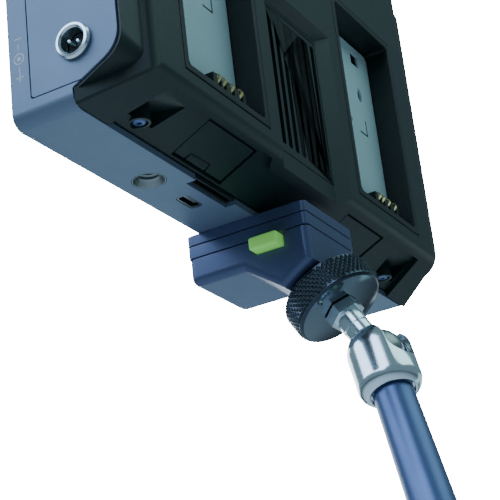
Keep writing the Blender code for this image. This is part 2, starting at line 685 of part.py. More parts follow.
def make_quick_release():
    low_x, high_x = MOUNT_X - MOUNT_HALF, MOUNT_X + MOUNT_HALF
    footprint = box_outline(low_x, MOUNT_FRONT, high_x, MOUNT_REAR, 1.5)
    plate = prism("qr_plate", footprint, PLATE_LOW, -0.1, "Z", MOUNT_METAL)
    tongue = [(MOUNT_X - 10, -6.5), (MOUNT_X + 10, -6.5), (MOUNT_X + 8, PLATE_LOW + 0.6),
              (MOUNT_X - 8, PLATE_LOW + 0.6)]
    join(plate, prism("dovetail", tongue, MOUNT_FRONT + 0.6, DOVETAIL_END, "Y"))
    cut(plate, block("pad_recess", (low_x + 1.5, 0.7, -1.1), (high_x - 1.5, 16.6, 1)),
        rod("plate_screw_hole", (MOUNT_X, INSERT_Y, -9), (0, 0, 1), 3.5, 12),
        rod("plate_head_hole", (MOUNT_X, INSERT_Y, -9), (0, 0, 1), 5.3, 5.5))
    hole = polygon_outline(24, 3.5)
    opening = [(MOUNT_X + u, INSERT_Y + v) for u, v in hole]
    prism("qr_pad", box_outline(low_x + 1.8, 1.0, high_x - 1.8, 16.3, 0.8), -1.0, -0.05, "Z",
          RUBBER, holes=[opening])
    profile = [(0, -6.4), (5.0, -6.4), (5.0, -3.9), (3.0, -3.9), (3.0, 5.5), (0, 5.5)]
    screw = turned("qr_plate_screw", profile, (MOUNT_X, INSERT_Y, 0), (0, 0, 1), STEEL)
    cut(screw, block("screw_slot", (MOUNT_X - 6, INSERT_Y - 0.7, -7),
                     (MOUNT_X + 6, INSERT_Y + 0.7, -5.2)))
    make_cover(footprint)
    make_mount_body(low_x, high_x)


def make_cover(footprint):
    cover = prism("qr_cover", footprint, COVER_LOW, PLATE_LOW - GAP, "Z", MOUNT_METAL)
    slot = [(MOUNT_X - 10.4, -8.0), (MOUNT_X + 10.4, -8.0), (MOUNT_X + 10.4, -6.5),
            (MOUNT_X + 8.3, -2.0), (MOUNT_X - 8.3, -2.0), (MOUNT_X - 10.4, -6.5)]
    cut(cover, prism("dovetail_slot", slot, -10, DOVETAIL_END + GAP, "Y"))


def make_mount_body(low_x, high_x):
    side_view = [(MOUNT_FRONT, BODY_TOP), (MOUNT_FRONT, BODY_FLAT), (12.5, BODY_FLAT), RIDGE,
                 (MOUNT_REAR, REAR_FOOT), (MOUNT_REAR, BODY_TOP)]
    body = prism("qr_body", side_view, low_x, high_x, "X", MOUNT_METAL)
    round_mount_edges(body)
    edge = MOUNT_X + MOUNT_HALF
    cut(body,
        block("button_well", (edge - 10.5, BUTTON_FRONT - GAP, BUTTON_LOW - GAP),
              (edge + 1, BUTTON_REAR + GAP, -5)),
        rod("spring_well", (edge - 17.5, SPRING_Y, SPRING_Z), (1, 0, 0), 1.9, 9, steps=16),
        block("pawl_well", (MOUNT_X - 2.3, 9.7, -13.2), (MOUNT_X + 2.3, 14.3, -5)),
        rod("stud_hole", STUD_BASE - STUD_AXIS * 7.5, STUD_AXIS, 3.3, 12))
    button = block("release_button", (edge - 7.5, BUTTON_FRONT, BUTTON_LOW),
                   (edge + BUTTON_PROUD, BUTTON_REAR, BUTTON_HIGH), GREEN)
    soften(button, 0.7, 3)
    block("latch_pawl", (MOUNT_X - 2.0, 10.0, -11.0), (MOUNT_X + 2.0, 14.0, -6.9), STEEL)
    make_button_spring(edge - 17.3, edge - 7.8)


def round_mount_edges(body):
    shape = bmesh.new()
    shape.from_mesh(body.data)
    bmesh.ops.dissolve_limit(shape, angle_limit=radians(1), verts=shape.verts, edges=shape.edges)
    low = (BODY_TOP - 1) * MM
    edges = []
    for edge in shape.edges:
        first, second = (vertex.co for vertex in edge.verts)
        along_side = abs(first.x - second.x) < MM and min(first.z, second.z) < low
        front = max(first.y, second.y) < (MOUNT_FRONT + 1) * MM
        upright = abs(first.z - second.z) > MM and front
        nose = front and max(first.z, second.z) < low
        if (along_side and not upright) or nose or upright:
            edges.append(edge)
    bmesh.ops.bevel(shape, geom=edges, offset=MOUNT_FILLET * MM, segments=4, profile=0.5,
                    affect="EDGES", clamp_overlap=True)
    bmesh.ops.remove_doubles(shape, verts=shape.verts, dist=0.02 * MM)
    shape.to_mesh(body.data)
    shape.free()


def make_button_spring(start, end):
    """Compression spring behind the button, as a round wire on a helix."""
    turns, points_per_turn, radius, wire = 5, 10, 1.3, 0.22
    curve = bpy.data.curves.new("button_spring", "CURVE")
    curve.dimensions = "3D"
    curve.bevel_depth = wire * MM
    curve.bevel_resolution = 1
    curve.use_fill_caps = True
    spline = curve.splines.new("POLY")
    count = turns * points_per_turn + 1
    spline.points.add(count - 1)
    span = end - start - 2 * wire
    for index, point in enumerate(spline.points):
        angle = 2 * pi * index / points_per_turn
        x = start + wire + span * index / (count - 1)
        y = SPRING_Y + radius * cos(angle)
        z = SPRING_Z + radius * sin(angle)
        point.co = (x * MM, y * MM, z * MM, 1)
    solid("button_spring", baked(bpy.data.objects.new("button_spring", curve)), STEEL)


# ---------------------------------------------------------------- arm

def along_stud(distance):
    return STUD_BASE + STUD_AXIS * distance


def make_lock_wheel():
    rim = star_outline(KNURLS, WHEEL_RADIUS, WHEEL_RADIUS - 0.5)
    wheel = bar("lock_wheel", rim, along_stud(WHEEL_START), STUD_AXIS, WHEEL_END - WHEEL_START,
                DARK_METAL, holes=[polygon_outline(24, 3.3)])
    cut(wheel, rod("hub_seat", along_stud(WHEEL_START - 1), STUD_AXIS, 4.8, HUB_LENGTH + 1.4))
    pivot_at(wheel, along_stud(WHEEL_START))
    hub = tube("wheel_hub", along_stud(WHEEL_START + 0.1), STUD_AXIS, 3.25, 4.5, HUB_LENGTH, STEEL)
    pivot_at(hub, along_stud(WHEEL_START))


def make_ball_stud():
    neck_end = BALL_REACH - 5.0
    profile = [(0, -6.5), (2.9, -6.5), (2.9, HEX_START + 0.6), (NECK_RADIUS, HEX_START + 0.6),
               (NECK_RADIUS, 16.4), (3.4, 16.5), (3.4, 16.9), (NECK_RADIUS - 0.1, 17.0),
               (NECK_RADIUS - 0.1, neck_end), (0, neck_end)]
    stud = turned("ball_stud", profile, STUD_BASE, STUD_AXIS, CHROME, 32)
    join(stud, bar("stud_hex", polygon_outline(6, HEX_RADIUS), along_stud(HEX_START), STUD_AXIS,
                   HEX_END - HEX_START))
    cut(stud, ball_shape("neck_hollow", SEAT_RADIUS))
    pivot_at(stud, BALL_CENTRE)


def ball_shape(name, radius, material=None, steps=12):
    profile = [(radius * sin(pi * step / steps), -radius * cos(pi * step / steps))
               for step in range(steps + 1)]
    profile[0] = (0, -radius)
    profile[-1] = (0, radius)
    return turned(name, profile, BALL_CENTRE, ARM_AXIS, material, 32)


def cup_profile():
    """Half section of the cup as (radius, distance beyond the ball's centre) points."""
    dome, foot, seat = [], [], []
    first = asin((CUP_MOUTH_RADIUS + 0.3) / CUP_RADIUS)
    for step in range(7):
        angle = first + (pi / 2 - first) * step / 6
        dome.append((CUP_RADIUS * sin(angle), -CUP_RADIUS * cos(angle)))
    for step in range(6):
        angle = radians(65) * step / 5
        foot.append((CUP_RADIUS - 4 + 4 * cos(angle), CUP_FOOT - 3.7 + 4 * sin(angle)))
    lip = asin(CUP_LIP_RADIUS / SEAT_RADIUS)
    for step in range(9):
        angle = radians(40) + (pi - lip - radians(40)) * step / 8
        seat.append((SEAT_RADIUS * sin(angle), SEAT_RADIUS * cos(angle)))
    mouth = [(CUP_MOUTH_RADIUS, dome[0][1])]
    bottom = [(6.1, foot[-1][1]), (6.1, 11.3), (3.0, 11.3), (3.0, 8.0), (4.4, 5.6)]
    return mouth + dome + foot + bottom + seat


def make_ball_cup():
    """Domed cup that holds the ball, open towards the mount, slotted on its rear side."""
    cup = turned("ball_cup", cup_profile(), BALL_CENTRE, ARM_AXIS, CHROME, 40)
    sideways = SLOT_SIDE - ARM_AXIS * ARM_AXIS.dot(SLOT_SIDE)
    turn = Matrix.Identity(3)
    turn.col[0] = ARM_AXIS
    turn.col[2] = sideways.normalized()
    turn.col[1] = turn.col[2].cross(turn.col[0])
    half = CUP_SLOT / 2
    outline = [(-14, half), (-14, -half)]
    for step in range(9):
        angle = pi * step / 8 - pi / 2
        outline.append((CUP_SLOT_END + half * cos(angle), half * sin(angle)))
    slot = prism("cup_slot", outline, 0, 14)
    slot.data.transform(turn.to_4x4())
    slot.data.transform(Matrix.Translation(BALL_CENTRE * MM))
    cut(cup, slot)


def make_arm():
    ball = ball_shape("ball", BALL_RADIUS, STEEL, 14)
    pivot_at(ball, BALL_CENTRE)
    make_ball_cup()
    start = BALL_CENTRE + ARM_AXIS * TUBE_START
    length = ARM_LENGTH - TUBE_START - FERRULE - 0.05
    profile = [(4.0, 0), (5.4, 0), (6.0, length), (4.0, length)]
    turned("arm_tube", profile, start, ARM_AXIS, BLACK_ALUMINIUM, 40)
    rod("push_rod", BALL_CENTRE + ARM_AXIS * (BALL_RADIUS + GAP), ARM_AXIS, 2.6,
        ARM_LENGTH - BALL_RADIUS - 7.0, STEEL, 20)
    ferrule = [(0, 0), (6.0, 0), (6.6, 0.6), (6.6, FERRULE - 0.6), (6.0, FERRULE), (0, FERRULE)]
    turned("arm_end_cap", ferrule, ARM_END - ARM_AXIS * FERRULE, ARM_AXIS, BLACK_ALUMINIUM, 40)


def main():
    make_chassis()
    make_side_panels()
    make_power_socket()
    make_rear_shell()
    make_shell_screws()
    make_vent_grille()
    for name, side in SIDES.items():
        make_bay(name, side)
        make_release_lever(name, side)
    make_display()
    make_electronics()
    make_sockets()
    make_controls()
    make_quick_release()
    make_lock_wheel()
    make_ball_stud()
    make_arm()


main()
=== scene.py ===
"""Looks of the receiver monitor: finishes, fine shapes, studio light and camera.

Everything is in metres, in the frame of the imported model. RECEIVER turns places in the
receiver's own millimetres (X = 0 in its middle, Y = 0 at the screen, Z = 0 at its
underside) into that frame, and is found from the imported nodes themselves.
"""
import json
from math import asin, cos, degrees, hypot, pi, radians, sin

import bmesh
import bpy
from mathutils import Matrix, Vector


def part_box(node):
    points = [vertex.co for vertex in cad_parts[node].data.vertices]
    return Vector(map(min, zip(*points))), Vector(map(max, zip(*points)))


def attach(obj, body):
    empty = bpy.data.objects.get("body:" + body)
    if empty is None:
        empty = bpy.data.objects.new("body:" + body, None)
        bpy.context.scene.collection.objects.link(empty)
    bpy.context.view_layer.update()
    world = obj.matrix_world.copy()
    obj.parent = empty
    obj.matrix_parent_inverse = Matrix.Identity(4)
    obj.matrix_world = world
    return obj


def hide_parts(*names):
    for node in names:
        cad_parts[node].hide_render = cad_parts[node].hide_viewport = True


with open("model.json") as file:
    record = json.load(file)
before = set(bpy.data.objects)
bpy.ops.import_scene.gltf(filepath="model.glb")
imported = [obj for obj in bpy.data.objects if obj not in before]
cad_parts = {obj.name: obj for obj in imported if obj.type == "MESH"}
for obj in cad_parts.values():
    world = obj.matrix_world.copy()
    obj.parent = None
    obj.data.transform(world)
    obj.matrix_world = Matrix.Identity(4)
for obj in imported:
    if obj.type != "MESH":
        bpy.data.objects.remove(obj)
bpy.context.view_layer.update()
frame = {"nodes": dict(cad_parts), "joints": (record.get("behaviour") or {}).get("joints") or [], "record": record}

MM = 0.001
NODES = frame["nodes"]
JOINTS = {joint["name"]: joint for joint in frame["joints"]}


def receiver_frame():
    """Matrix from the receiver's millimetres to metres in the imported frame."""
    low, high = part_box("front_chassis")
    corner = Vector(((low.x + high.x) / 2, low.y, low.z))
    return Matrix.Translation(corner) @ Matrix.Scale(MM, 4)


RECEIVER = receiver_frame()


def place(x, y, z):
    return RECEIVER @ Vector((x, y, z))


def joint_line(name):
    """Point and unit direction of a joint's axis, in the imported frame."""
    joint = JOINTS[name]
    return Vector(joint.get("pos_m", (0, 0, 0))), Vector(joint["axis"]).normalized()


# ---------------------------------------------------------------- camera, light, floor

CAMERA_PLACE = (0.35172, 0.13692, -0.07306)
CAMERA_TURN = (112.625, 6.2096, 119.7264)       # degrees about X, Y and Z
CAMERA_LENS = 113.23


def make_camera():
    data = bpy.data.cameras.new("camera")
    data.lens = CAMERA_LENS
    data.sensor_width = 36.0
    data.clip_start = 0.01
    data.clip_end = 50.0
    camera = bpy.data.objects.new("camera", data)
    camera.location = CAMERA_PLACE
    camera.rotation_euler = [radians(turn) for turn in CAMERA_TURN]
    bpy.context.scene.collection.objects.link(camera)
    bpy.context.scene.camera = camera


def area_light(name, spot, target, size, power, colour):
    data = bpy.data.lights.new(name, "AREA")
    data.shape = "RECTANGLE"
    data.size, data.size_y = size
    data.energy = power
    data.color = colour
    light = bpy.data.objects.new(name, data)
    light.location = spot
    direction = Vector(target) - Vector(spot)
    light.rotation_euler = direction.to_track_quat("-Z", "Y").to_euler()
    bpy.context.scene.collection.objects.link(light)


WORLD_FILL = 0.06          # light that the surroundings give
WORLD_MIRRORED = 0.26      # their brightness in reflections
WORLD_SEEN = 30.0          # their brightness behind the object


def background(nodes, colour, strength):
    node = nodes.new("ShaderNodeBackground")
    node.inputs["Color"].default_value = (*colour, 1.0)
    node.inputs["Strength"].default_value = strength
    return node.outputs["Background"]


def make_world():
    """Near-white surroundings where seen directly, dimmer in reflections and as fill light."""
    world = bpy.data.worlds.new("studio")
    bpy.context.scene.world = world
    world.use_nodes = True
    nodes, links = world.node_tree.nodes, world.node_tree.links
    nodes.clear()
    output = nodes.new("ShaderNodeOutputWorld")
    rays = nodes.new("ShaderNodeLightPath")
    result = background(nodes, (0.62, 0.84, 1.0), WORLD_FILL)
    layers = (("Is Glossy Ray", (0.55, 0.85, 1.0), WORLD_MIRRORED),
              ("Is Camera Ray", (0.97, 1.0, 1.0), WORLD_SEEN))
    for ray, colour, strength in layers:
        blend = nodes.new("ShaderNodeMixShader")
        links.new(rays.outputs[ray], blend.inputs["Fac"])
        links.new(result, blend.inputs[1])
        links.new(background(nodes, colour, strength), blend.inputs[2])
        result = blend.outputs["Shader"]
    links.new(result, output.inputs["Surface"])


# name, direction from the receiver, distance, size, power and colour
LIGHTS = (
    ("key_card", (0.64, -0.36, 0.67), 0.9, (1.6, 0.7), 12.0, (0.58, 0.74, 1.0)),
    ("rear_card", (-0.24, 0.62, 0.75), 0.9, (0.8, 0.6), 2.4, (0.60, 0.97, 1.0)),
    ("low_rim", (-0.82, 0.52, -0.24), 0.8, (0.16, 0.5), 0.2, (0.55, 0.97, 0.97)),
    ("under_card", (-0.82, -0.42, -0.38), 0.9, (0.40, 0.40), 0.35, (0.58, 0.92, 1.0)),
    ("screen_side", (-0.62, -0.75, 0.25), 0.9, (0.6, 0.6), 3.5, (0.85, 0.95, 1.0)),
    ("far_side", (-0.95, 0.20, -0.05), 0.9, (0.3, 0.3), 0.3, (0.85, 0.95, 1.0)),
)


LIGHT_TARGET = (0, 20, 10)


def make_light():
    middle = place(*LIGHT_TARGET)
    for name, direction, distance, size, power, colour in LIGHTS:
        spot = middle + Vector(direction).normalized() * distance
        area_light(name, spot, middle, size, power, colour)


FLOOR_SIZE = 3.0
FLOOR_HEIGHT = -0.35


def make_floor():
    mesh = bpy.data.meshes.new("floor")
    shape = bmesh.new()
    bmesh.ops.create_grid(shape, x_segments=1, y_segments=1, size=FLOOR_SIZE)
    shape.to_mesh(mesh)
    shape.free()
    surface = bpy.data.objects.new("floor", mesh)
    surface.location = (0, 0, FLOOR_HEIGHT)
    bpy.context.scene.collection.objects.link(surface)
    material, _ = new_material("floor_paper", (0.80, 0.84, 0.86), 0.7)
    mesh.materials.append(material)


# ---------------------------------------------------------------- finishes

def new_material(name, colour, roughness, metallic=0.0):
    material = bpy.data.materials.new(name)
    material.use_nodes = True
    shader = material.node_tree.nodes["Principled BSDF"]
    shader.inputs["Base Color"].default_value = (*colour, 1.0)
    shader.inputs["Roughness"].default_value = roughness
    shader.inputs["Metallic"].default_value = metallic
    return material, shader


def shade(colour, factor):
    return tuple(min(1.0, part * factor) for part in colour)


def texture_space(material):
    node = material.node_tree.nodes.new("ShaderNodeTexCoord")
    return node.outputs["Object"]


def noise(material, size, detail=3.0, roughness=0.55):
    """Noise whose features are about a size in metres."""
    tree = material.node_tree
    node = tree.nodes.new("ShaderNodeTexNoise")
    node.inputs["Scale"].default_value = 1.0 / size
    node.inputs["Detail"].default_value = detail
    node.inputs["Roughness"].default_value = roughness
    tree.links.new(texture_space(material), node.inputs["Vector"])
    return node.outputs["Fac"]


def ramp(material, source, stops):
    """Colour ramp over (position, colour) stops."""
    tree = material.node_tree
    node = tree.nodes.new("ShaderNodeValToRGB")
    elements = node.color_ramp.elements
    while len(elements) < len(stops):
        elements.new(0.5)
    for element, (position, colour) in zip(elements, stops):
        element.position = position
        element.color = (*colour, 1.0)
    tree.links.new(source, node.inputs["Fac"])
    return node.outputs["Color"]


def spread(material, source, low, high):
    """Map a 0..1 value on to a range."""
    tree = material.node_tree
    node = tree.nodes.new("ShaderNodeMapRange")
    node.inputs["To Min"].default_value = low
    node.inputs["To Max"].default_value = high
    tree.links.new(source, node.inputs["Value"])
    return node.outputs["Result"]


def painted_edge_highlight(material, radius):
    """Value that is high on convex edges, from the slope between bevelled and true normal."""
    tree = material.node_tree
    bevel = tree.nodes.new("ShaderNodeBevel")
    bevel.samples = 4
    bevel.inputs["Radius"].default_value = radius
    geometry = tree.nodes.new("ShaderNodeNewGeometry")
    dot = tree.nodes.new("ShaderNodeVectorMath")
    dot.operation = "DOT_PRODUCT"
    tree.links.new(bevel.outputs["Normal"], dot.inputs[0])
    tree.links.new(geometry.outputs["Normal"], dot.inputs[1])
    flip = tree.nodes.new("ShaderNodeMapRange")
    flip.inputs["From Min"].default_value = 0.97
    flip.inputs["From Max"].default_value = 0.80
    tree.links.new(dot.outputs["Value"], flip.inputs["Value"])
    return flip.outputs["Result"]


def add_bump(material, shader, source, height, strength=1.0):
    tree = material.node_tree
    bump = tree.nodes.new("ShaderNodeBump")
    bump.inputs["Strength"].default_value = strength
    bump.inputs["Distance"].default_value = height
    tree.links.new(source, bump.inputs["Height"])
    tree.links.new(bump.outputs["Normal"], shader.inputs["Normal"])


def grained(name, colour, roughness, grain, height, metallic=0.0, mottle=0.12, strength=0.5):
    """Finish with a fine grain, cloudy colour variation and uneven gloss."""
    material, shader = new_material(name, colour, roughness, metallic)
    links = material.node_tree.links
    clouds = noise(material, 0.03, 4.0)
    links.new(ramp(material, clouds, [(0.25, shade(colour, 1 - mottle)),
                                      (0.75, shade(colour, 1 + mottle))]),
              shader.inputs["Base Color"])
    gloss = noise(material, 0.012, 5.0, 0.65)
    links.new(spread(material, gloss, roughness - 0.06, roughness + 0.08),
              shader.inputs["Roughness"])
    add_bump(material, shader, noise(material, grain, 2.0), height, strength)
    return material


def make_aluminium():
    """Bead-blasted blue-grey anodised aluminium."""
    return grained("blasted_aluminium", (0.175, 0.235, 0.33), 0.42, 0.00035, 0.00002, 0.3, 0.05, 0.35)


def make_mount_metal():
    return grained("anodised_mount", (0.095, 0.125, 0.24), 0.34, 0.0003, 0.00002, 0.35, 0.06, 0.3)


def make_shell_plastic():
    """Greenish black moulded plastic with a fine spark-eroded grain."""
    return grained("moulded_shell", (0.006, 0.020, 0.018), 0.42, 0.0004, 0.00003, 0.0, 0.15, 0.4)


def make_dark_plastic():
    return grained("dark_plastic", (0.004, 0.012, 0.011), 0.5, 0.0004, 0.00003)


def make_plate_plastic():
    return grained("satin_plate", (0.66, 0.90, 0.91), 0.42, 0.0005, 0.00002, 0.0, 0.06, 0.3)


def make_gold():
    material, shader = new_material("gold_plate", (0.85, 0.62, 0.26), 0.22, 1.0)
    tarnish = noise(material, 0.0012, 4.0)
    material.node_tree.links.new(
        ramp(material, tarnish, [(0.3, (0.62, 0.42, 0.15)), (0.65, (0.92, 0.72, 0.34))]),
        shader.inputs["Base Color"])
    return material


def make_chrome():
    """Bright plating with a faint haze and fine polishing marks."""
    material, shader = new_material("chrome_plate", (0.80, 0.90, 0.94), 0.18, 1.0)
    haze = noise(material, 0.004, 6.0, 0.7)
    material.node_tree.links.new(spread(material, haze, 0.14, 0.22), shader.inputs["Roughness"])
    add_bump(material, shader, noise(material, 0.0009, 2.0), 0.000005, 0.15)
    return material


def make_steel():
    # base colour darker than bare steel: painted shade, so the ball inside the cup looks dark
    material, shader = new_material("turned_steel", (0.30, 0.33, 0.33), 0.28, 1.0)
    marks = noise(material, 0.0006, 4.0, 0.7)
    material.node_tree.links.new(spread(material, marks, 0.2, 0.42), shader.inputs["Roughness"])
    return material


def make_wheel_metal():
    """Blackened metal with the sharp tips of the knurling painted bright, a painted highlight where rounded edges
    would catch the light.
    """
    colour = (0.05, 0.065, 0.085)
    material, shader = new_material("knurled_metal", colour, 0.25, 0.9)
    links = material.node_tree.links
    edges = painted_edge_highlight(material, 0.00020)
    # painted highlight: convex edges get a lighter base colour
    links.new(ramp(material, edges, [(0.2, colour), (1.0, (0.42, 0.47, 0.52))]),
              shader.inputs["Base Color"])
    gloss = noise(material, 0.002, 4.0)
    links.new(spread(material, gloss, 0.18, 0.32), shader.inputs["Roughness"])
    return material


def make_wheel_face():
    """Turned and polished face, dark but mirror-like."""
    material, shader = new_material("polished_face", (0.16, 0.20, 0.24), 0.10, 0.95)
    gloss = noise(material, 0.006, 5.0, 0.7)
    material.node_tree.links.new(spread(material, gloss, 0.07, 0.16), shader.inputs["Roughness"])
    return material


def make_dark_metal():
    return grained("black_anodised", (0.13, 0.19, 0.38), 0.34, 0.0006, 0.00001, 0.6, 0.08, 0.2)


BUTTON_PAINTED_GLOW = 0.30


def make_green_plastic():
    """Gloss green with a little light scattering inside it, and a painted glow: emission that brightens the button
    though it is no lamp.
    """
    colour = (0.36, 0.92, 0.20)
    material = grained("green_button", colour, 0.30, 0.0005, 0.00002, 0.0, 0.10, 0.25)
    shader = material.node_tree.nodes["Principled BSDF"]
    # painted glow: the button gives off light of its own so it looks brighter
    shader.inputs["Emission Color"].default_value = (0.30, 0.90, 0.16, 1.0)
    shader.inputs["Emission Strength"].default_value = BUTTON_PAINTED_GLOW
    shader.inputs["Subsurface Weight"].default_value = 0.15
    shader.inputs["Subsurface Radius"].default_value = (0.001, 0.002, 0.0006)
    return material


def make_glass():
    """Dark display glass with a faint coating and dust that dulls it unevenly."""
    material, shader = new_material("screen_glass", (0.006, 0.007, 0.009), 0.06)
    shader.inputs["Coat Weight"].default_value = 0.6
    dust = noise(material, 0.02, 6.0, 0.7)
    material.node_tree.links.new(spread(material, dust, 0.03, 0.14), shader.inputs["Roughness"])
    return material


def make_board():
    return grained("solder_mask", (0.01, 0.07, 0.03), 0.35, 0.0006, 0.00003)


def make_rubber():
    return grained("black_rubber", (0.015, 0.015, 0.016), 0.75, 0.0004, 0.00004)


DARK_METAL = make_dark_metal()      # one finish for both dark metal slots
FINISHES = {
    "aluminium": make_aluminium(),
    "mount_metal": make_mount_metal(),
    "shell_plastic": make_shell_plastic(),
    "dark_plastic": make_dark_plastic(),
    "plate_plastic": make_plate_plastic(),
    "gold": make_gold(),
    "chrome": make_chrome(),
    "steel": make_steel(),
    "wheel_metal": make_wheel_metal(),
    "dark_metal": DARK_METAL,
    # black_aluminium also dresses the heat sink behind the vent; its dark colour is painted shade inside the vent
    "black_aluminium": DARK_METAL,
    "green_plastic": make_green_plastic(),
    "display_glass": make_glass(),
    "circuit_board": make_board(),
    "rubber": make_rubber(),
}


def dress_nodes():
    """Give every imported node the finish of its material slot."""
    for entry in frame["record"]["subparts"]:
        materials = NODES[entry["node"]].data.materials
        materials.clear()
        materials.append(FINISHES[entry["material_slot"]])


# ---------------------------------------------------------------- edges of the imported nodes

def smoothing_nodes():
    """Geometry nodes that shade smooth across edges under an angle."""
    tree = bpy.data.node_groups.new("smooth_under_angle", "GeometryNodeTree")
    tree.interface.new_socket("Geometry", in_out="INPUT", socket_type="NodeSocketGeometry")
    tree.interface.new_socket("Geometry", in_out="OUTPUT", socket_type="NodeSocketGeometry")
    start = tree.nodes.new("NodeGroupInput")
    end = tree.nodes.new("NodeGroupOutput")
    faces = tree.nodes.new("GeometryNodeSetShadeSmooth")
    faces.domain = "FACE"
    edges = tree.nodes.new("GeometryNodeSetShadeSmooth")
    edges.domain = "EDGE"
    edges.inputs["Shade Smooth"].default_value = False
    angle = tree.nodes.new("GeometryNodeInputMeshEdgeAngle")
    sharp = tree.nodes.new("FunctionNodeCompare")
    sharp.operation = "GREATER_THAN"
    sharp.inputs["B"].default_value = radians(32)
    links = tree.links
    links.new(start.outputs[0], faces.inputs["Geometry"])
    links.new(faces.outputs[0], edges.inputs["Geometry"])
    links.new(angle.outputs["Unsigned Angle"], sharp.inputs["A"])
    links.new(sharp.outputs["Result"], edges.inputs["Selection"])
    links.new(edges.outputs[0], end.inputs[0])
    return tree


SMOOTHING = smoothing_nodes()


def weld(piece):
    """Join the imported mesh's split corners, so that edges can be rounded and shaded."""
    modifier = piece.modifiers.new("weld", "WELD")
    modifier.merge_threshold = 0.002 * MM


def smooth(piece):
    modifier = piece.modifiers.new("smooth", "NODES")
    modifier.node_group = SMOOTHING


def round_edges(piece, width, segments=2, angle=28.0):
    """Merge flat facets, round the edges and shade the result."""
    weld(piece)
    flatten = piece.modifiers.new("flatten", "DECIMATE")
    flatten.decimate_type = "DISSOLVE"
    flatten.angle_limit = radians(0.6)
    bevel = piece.modifiers.new("edges", "BEVEL")
    bevel.width = width * MM
    bevel.segments = segments
    bevel.limit_method = "ANGLE"
    bevel.angle_limit = radians(angle)
    bevel.miter_outer = "MITER_ARC"
    smooth(piece)
    weigh = piece.modifiers.new("weigh", "WEIGHTED_NORMAL")
    weigh.keep_sharp = True


EDGE_WIDTHS = {
    "front_chassis": 0.35, "rear_shell": 0.3, "side_panel_power": 0.12,
    "side_panel_controls": 0.12, "vent_grille": 0.25, "screen_bezel": 0.3,
    "battery_tray_left": 0.35, "battery_tray_right": 0.35,
    "battery_plate_left": 0.15, "battery_plate_right": 0.15,
    "contact_block_left": 0.15, "contact_block_right": 0.15,
    "battery_release_left": 0.3, "battery_release_right": 0.3,
    "qr_body": 0.2, "qr_cover": 0.2, "qr_plate": 0.2,
    "usb_port": 0.08, "card_slot": 0.1,
}


def finish_edges():
    for name, node in NODES.items():
        width = EDGE_WIDTHS.get(name)
        if width:
            round_edges(node, width)
        else:
            weld(node)
            smooth(node)


# ---------------------------------------------------------------- fine shapes

def line_frame(name):
    """Millimetres along and round a joint's axis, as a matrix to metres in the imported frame."""
    point, direction = joint_line(name)
    turn = direction.to_track_quat("Z", "Y").to_matrix().to_4x4()
    return Matrix.Translation(point) @ turn @ Matrix.Scale(MM, 4)


def reach(name, line):
    """Ends of a node along a line, and its largest radius about it, in millimetres."""
    back = line.inverted()
    points = [back @ vertex.co for vertex in NODES[name].data.vertices]
    heights = [point.z for point in points]
    return min(heights), max(heights), max(hypot(point.x, point.y) for point in points)


def add_piece(name, shape, slot, body, replaced=()):
    """Make an object of a finished shape, put it on the body it rides on, and hide the imported nodes it replaces.
    """
    bmesh.ops.recalc_face_normals(shape, faces=shape.faces)
    mesh = bpy.data.meshes.new(name)
    shape.to_mesh(mesh)
    shape.free()
    mesh.materials.append(FINISHES[slot])
    piece = bpy.data.objects.new(name, mesh)
    bpy.context.scene.collection.objects.link(piece)
    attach(piece, body)
    if replaced:
        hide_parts(*replaced)
    return piece


def ring(shape, line, radii, height):
    """Closed ring of vertices, one for each radius, at a height along a line."""
    corners = []
    for index, radius in enumerate(radii):
        angle = 2 * pi * index / len(radii)
        spot = Vector((radius * cos(angle), radius * sin(angle), height))
        corners.append(shape.verts.new(line @ spot))
    return corners


def bridge(shape, first, second, odd=None):
    """Faces between two rings, as quads, or as triangles that follow the knurling's grooves."""
    count = len(first)
    for index in range(count):
        after = (index + 1) % count
        a, b, c, d = first[index], first[after], second[after], second[index]
        if odd is None:
            shape.faces.new((a, b, c, d))
        elif (index + odd) % 2 == 0:
            shape.faces.new((a, b, c))
            shape.faces.new((a, c, d))
        else:
            shape.faces.new((a, b, d))
            shape.faces.new((b, c, d))


def revolve(shape, line, profile, steps):
    """Closed body of revolution from a closed outline of (radius, height) points."""
    rings = [ring(shape, line, [radius] * steps, height) for radius, height in profile]
    for first, second in zip(rings, rings[1:] + rings[:1]):
        bridge(shape, first, second)


def slab(shape, low, high):
    """Box between two corners in the receiver's millimetres."""
    made = bmesh.ops.create_cube(shape, size=1.0)["verts"]
    low, high = place(*low), place(*high)
    for vertex in made:
        for axis in range(3):
            vertex.co[axis] = low[axis] if vertex.co[axis] < 0 else high[axis]


WHEEL_DIAMONDS = 52
WHEEL_ROWS = 8
KNURL_DEPTH = 0.45
RIM_WIDTH = 0.65
WHEEL_BORE, HUB_SEAT, HUB_SEAT_DEPTH = 3.3, 4.8, 7.2


